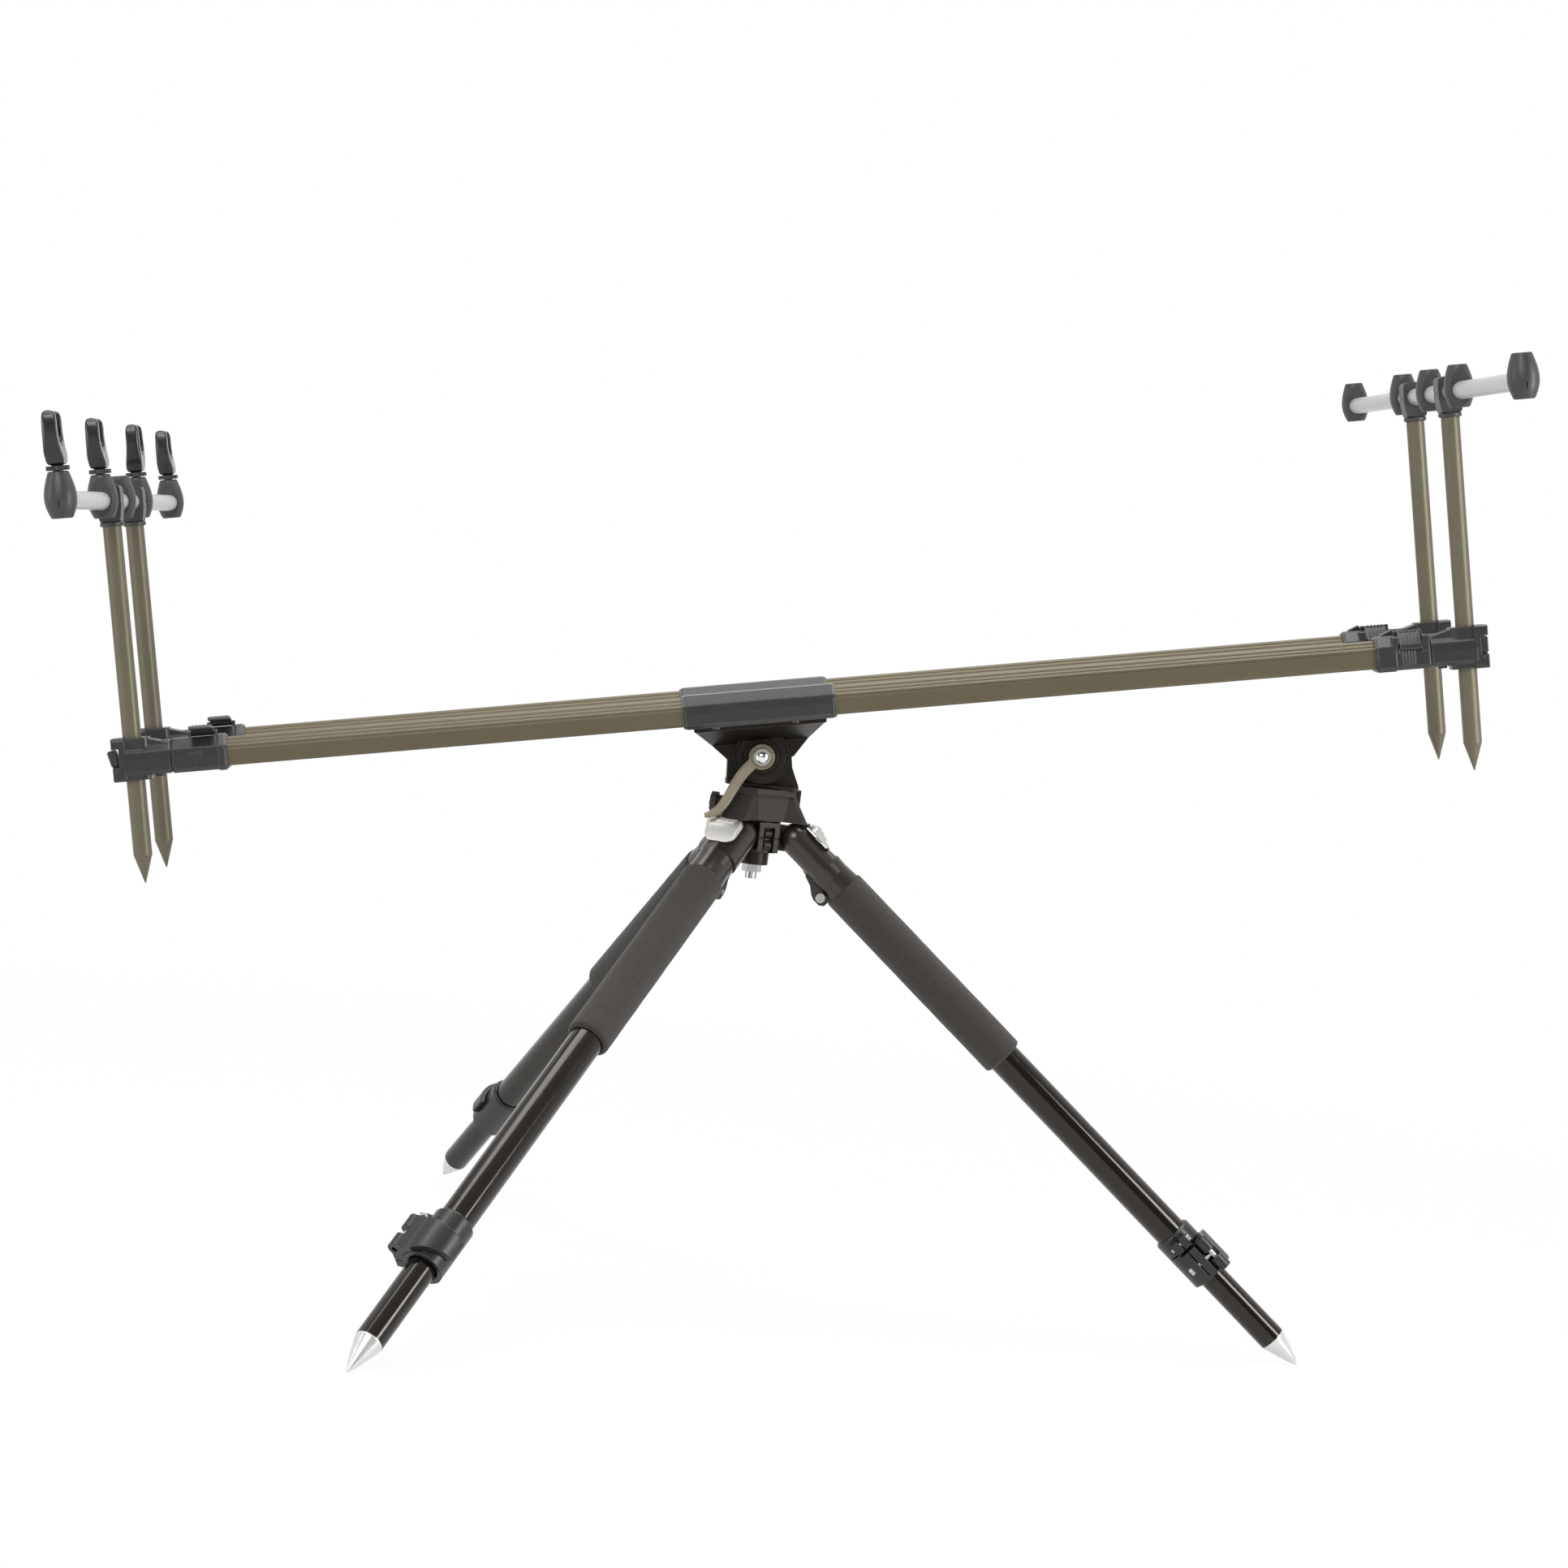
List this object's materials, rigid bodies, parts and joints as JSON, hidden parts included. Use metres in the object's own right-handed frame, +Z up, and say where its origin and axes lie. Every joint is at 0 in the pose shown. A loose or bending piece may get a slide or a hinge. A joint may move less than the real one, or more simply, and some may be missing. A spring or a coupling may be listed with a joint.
{
  "type": "rod pod",
  "caption": "Folding tripod rod pod: tilting pan head with twin telescopic beams, uprights and crossbars that carry U-shaped rod rests and threaded alarm sockets.",
  "frame": {"origin": "on the ground plane under the middle of the whole part's footprint", "axes": "+X along the beams towards the raised end, +Y from the near beam to the far beam, +Z up"},
  "size_m": [1.2097, 0.9206, 0.8861],
  "materials": {
    "black_cast": "semi-gloss black paint",
    "black_tube": "gloss black anodised tube",
    "foam": "matt closed-cell foam",
    "dark_plastic": "satin moulded plastic",
    "steel": "turned",
    "spike_metal": "polished",
    "tab_metal": "satin",
    "knob_brown": "moulded",
    "lever_bronze": "satin bronze anodised",
    "grey_plastic": "satin moulded plastic",
    "olive": "satin olive anodised",
    "bar_silver": "satin anodised",
    "rest_black": "gloss"
  },
  "bodies": {
    "base": {"crown_spider": "black_cast", "crown_cowl": "black_cast", "crown_fasteners": "steel"},
    "leg_right": {"leg_casting_right": "black_cast", "upper_tube_right": "black_tube", "leg_grip_right": "foam", "lock_collar_right": "dark_plastic", "leg_screws_right": "steel"},
    "lower_right": {"lower_tube_right": "black_tube", "spike_right": "spike_metal"},
    "flip_lever_right": {"lock_lever_right": "dark_plastic"},
    "tab_right": {"angle_tab_right": "tab_metal"},
    "leg_near": {"leg_casting_near": "black_cast", "upper_tube_near": "black_tube", "leg_grip_near": "foam", "lock_collar_near": "dark_plastic", "leg_screws_near": "steel"},
    "lower_near": {"lower_tube_near": "black_tube", "spike_near": "spike_metal"},
    "flip_lever_near": {"lock_lever_near": "dark_plastic"},
    "tab_near": {"angle_tab_near": "tab_metal"},
    "leg_back": {"leg_casting_back": "black_cast", "upper_tube_back": "black_tube", "leg_grip_back": "foam", "lock_collar_back": "dark_plastic", "leg_screws_back": "steel"},
    "lower_back": {"lower_tube_back": "black_tube", "spike_back": "spike_metal"},
    "flip_lever_back": {"lock_lever_back": "dark_plastic"},
    "tab_back": {"angle_tab_back": "tab_metal"},
    "pan": {"pan_yoke": "black_cast", "head_fasteners": "steel"},
    "pan_screw": {"pan_knob": "knob_brown"},
    "tilt_handle": {"tilt_lever": "lever_bronze"},
    "top_frame": {"tilt_plate": "black_cast", "saddle_sleeves": "grey_plastic", "beams": "olive", "beam_collars": "grey_plastic"},
    "carriage_left": {"inner_tubes_left": "olive", "end_blocks_left": "grey_plastic"},
    "mast_left": {"uprights_left": "olive", "cross_blocks_left": "grey_plastic", "buzz_bar_left": "bar_silver", "bulbs_left": "grey_plastic", "rod_rests": "rest_black", "lock_rings": "grey_plastic"},
    "beam_lock_left_near": {"cam_lever_left_near": "grey_plastic"},
    "upright_lock_left_near": {"block_lever_left_near": "grey_plastic"},
    "beam_lock_left_far": {"cam_lever_left_far": "grey_plastic"},
    "upright_lock_left_far": {"block_lever_left_far": "grey_plastic"},
    "carriage_right": {"inner_tubes_right": "olive", "end_blocks_right": "grey_plastic"},
    "mast_right": {"uprights_right": "olive", "cross_blocks_right": "grey_plastic", "buzz_bar_right": "bar_silver", "bulbs_right": "grey_plastic"},
    "beam_lock_right_near": {"cam_lever_right_near": "grey_plastic"},
    "upright_lock_right_near": {"block_lever_right_near": "grey_plastic"},
    "beam_lock_right_far": {"cam_lever_right_far": "grey_plastic"},
    "upright_lock_right_far": {"block_lever_right_far": "grey_plastic"}
  },
  "joints": [
    {"name": "leg_right_fold", "type": "hinge", "parent": "base", "child": "leg_right", "pos_m": [0.03018, -0.00942, 0.41108], "axis": [0.0314, 0.9995, 0], "range_deg": [0, 46]},
    {"name": "leg_right_extend", "type": "slide", "parent": "leg_right", "child": "lower_right", "axis": [0.7701, -0.0242, -0.6374], "range_m": [-0.075, 0.2]},
    {"name": "leg_right_lock", "type": "hinge", "parent": "leg_right", "child": "flip_lever_right", "pos_m": [0.43555, -0.04367, 0.09421], "axis": [0.7701, -0.0242, -0.6374], "range_deg": [0, 110]},
    {"name": "leg_right_tab", "type": "slide", "parent": "leg_right", "child": "tab_right", "axis": [0.7701, -0.0242, -0.6374], "range_m": [0, 0.005], "stiffness_N_per_m": 600, "springref_m": -0.002},
    {"name": "leg_near_fold", "type": "hinge", "parent": "base", "child": "leg_near", "pos_m": [-0.02325, -0.03807, 0.41108], "axis": [0.8499, -0.527, 0], "range_deg": [0, 46]},
    {"name": "leg_near_extend", "type": "slide", "parent": "leg_near", "child": "lower_near", "axis": [-0.406, -0.6549, -0.6374], "range_m": [-0.075, 0.2]},
    {"name": "leg_near_lock", "type": "hinge", "parent": "leg_near", "child": "flip_lever_near", "pos_m": [-0.2556, -0.37201, 0.09421], "axis": [-0.406, -0.6549, -0.6374], "range_deg": [0, 110]},
    {"name": "leg_near_tab", "type": "slide", "parent": "leg_near", "child": "tab_near", "axis": [-0.406, -0.6549, -0.6374], "range_m": [0, 0.005], "stiffness_N_per_m": 600, "springref_m": -0.002},
    {"name": "leg_back_fold", "type": "hinge", "parent": "base", "child": "leg_back", "pos_m": [-0.02135, 0.02252, 0.41108], "axis": [-0.8813, -0.4726, 0], "range_deg": [0, 46]},
    {"name": "leg_back_extend", "type": "slide", "parent": "leg_back", "child": "lower_back", "axis": [-0.3641, 0.6791, -0.6374], "range_m": [-0.075, 0.2]},
    {"name": "leg_back_lock", "type": "hinge", "parent": "leg_back", "child": "flip_lever_back", "pos_m": [-0.19437, 0.39071, 0.09421], "axis": [-0.3641, 0.6791, -0.6374], "range_deg": [0, 110]},
    {"name": "leg_back_tab", "type": "slide", "parent": "leg_back", "child": "tab_back", "axis": [-0.3641, 0.6791, -0.6374], "range_m": [0, 0.005], "stiffness_N_per_m": 600, "springref_m": -0.002},
    {"name": "pan_lock_turn", "type": "hinge", "parent": "base", "child": "pan_screw", "pos_m": [-0.04055, 0.00125, 0.43448], "axis": [-0.9659, 0.2588, 0], "range_deg": [0, 270]},
    {"name": "head_pan", "type": "hinge", "parent": "base", "child": "pan", "pos_m": [-0.00481, -0.00832, 0.48158], "axis": [0, 0, 1], "continuous": true},
    {"name": "tilt_lock_turn", "type": "hinge", "parent": "pan", "child": "tilt_handle", "pos_m": [-0.00881, -0.04232, 0.48158], "axis": [0, 1, 0], "range_deg": [0, 40]},
    {"name": "head_tilt", "type": "hinge", "parent": "pan", "child": "top_frame", "pos_m": [-0.00881, -0.00832, 0.48158], "axis": [0, -1, 0], "range_deg": [-36.5, 13.5]},
    {"name": "beam_left_extend", "type": "slide", "parent": "top_frame", "child": "carriage_left", "axis": [-0.9799, 0, -0.1994], "range_m": [0, 0.15]},
    {"name": "upright_left_height", "type": "slide", "parent": "carriage_left", "child": "mast_left", "axis": [-0.1994, 0, 0.9799], "range_m": [-0.12, 0.06]},
    {"name": "beam_left_near_lock", "type": "hinge", "parent": "top_frame", "child": "beam_lock_left_near", "pos_m": [-0.48587, -0.08392, 0.4484], "axis": [-0.9799, 0, -0.1994], "range_deg": [-58, 52]},
    {"name": "upright_left_near_lock", "type": "hinge", "parent": "carriage_left", "child": "upright_lock_left_near", "pos_m": [-0.55348, -0.08332, 0.40853], "axis": [0, -1, 0], "range_deg": [-14, 61]},
    {"name": "beam_left_far_lock", "type": "hinge", "parent": "top_frame", "child": "beam_lock_left_far", "pos_m": [-0.48587, 0.06608, 0.4484], "axis": [-0.9799, 0, -0.1994], "range_deg": [-58, 52]},
    {"name": "upright_left_far_lock", "type": "hinge", "parent": "carriage_left", "child": "upright_lock_left_far", "pos_m": [-0.55348, 0.06668, 0.40853], "axis": [0, -1, 0], "range_deg": [-14, 61]},
    {"name": "beam_right_extend", "type": "slide", "parent": "top_frame", "child": "carriage_right", "axis": [0.9799, 0, 0.1994], "range_m": [0, 0.15]},
    {"name": "upright_right_height", "type": "slide", "parent": "carriage_right", "child": "mast_right", "axis": [-0.1994, 0, 0.9799], "range_m": [-0.12, 0.06]},
    {"name": "beam_right_near_lock", "type": "hinge", "parent": "top_frame", "child": "beam_lock_right_near", "pos_m": [0.52806, -0.08392, 0.65469], "axis": [-0.9799, 0, -0.1994], "range_deg": [0, 110]},
    {"name": "upright_right_near_lock", "type": "hinge", "parent": "carriage_right", "child": "upright_lock_right_near", "pos_m": [0.59637, -0.08332, 0.64246], "axis": [0, 1, 0], "range_deg": [0, 75]},
    {"name": "beam_right_far_lock", "type": "hinge", "parent": "top_frame", "child": "beam_lock_right_far", "pos_m": [0.52806, 0.06608, 0.65469], "axis": [-0.9799, 0, -0.1994], "range_deg": [0, 110]},
    {"name": "upright_right_far_lock", "type": "hinge", "parent": "carriage_right", "child": "upright_lock_right_far", "pos_m": [0.59637, 0.06668, 0.64246], "axis": [0, 1, 0], "range_deg": [0, 75]}
  ]
}
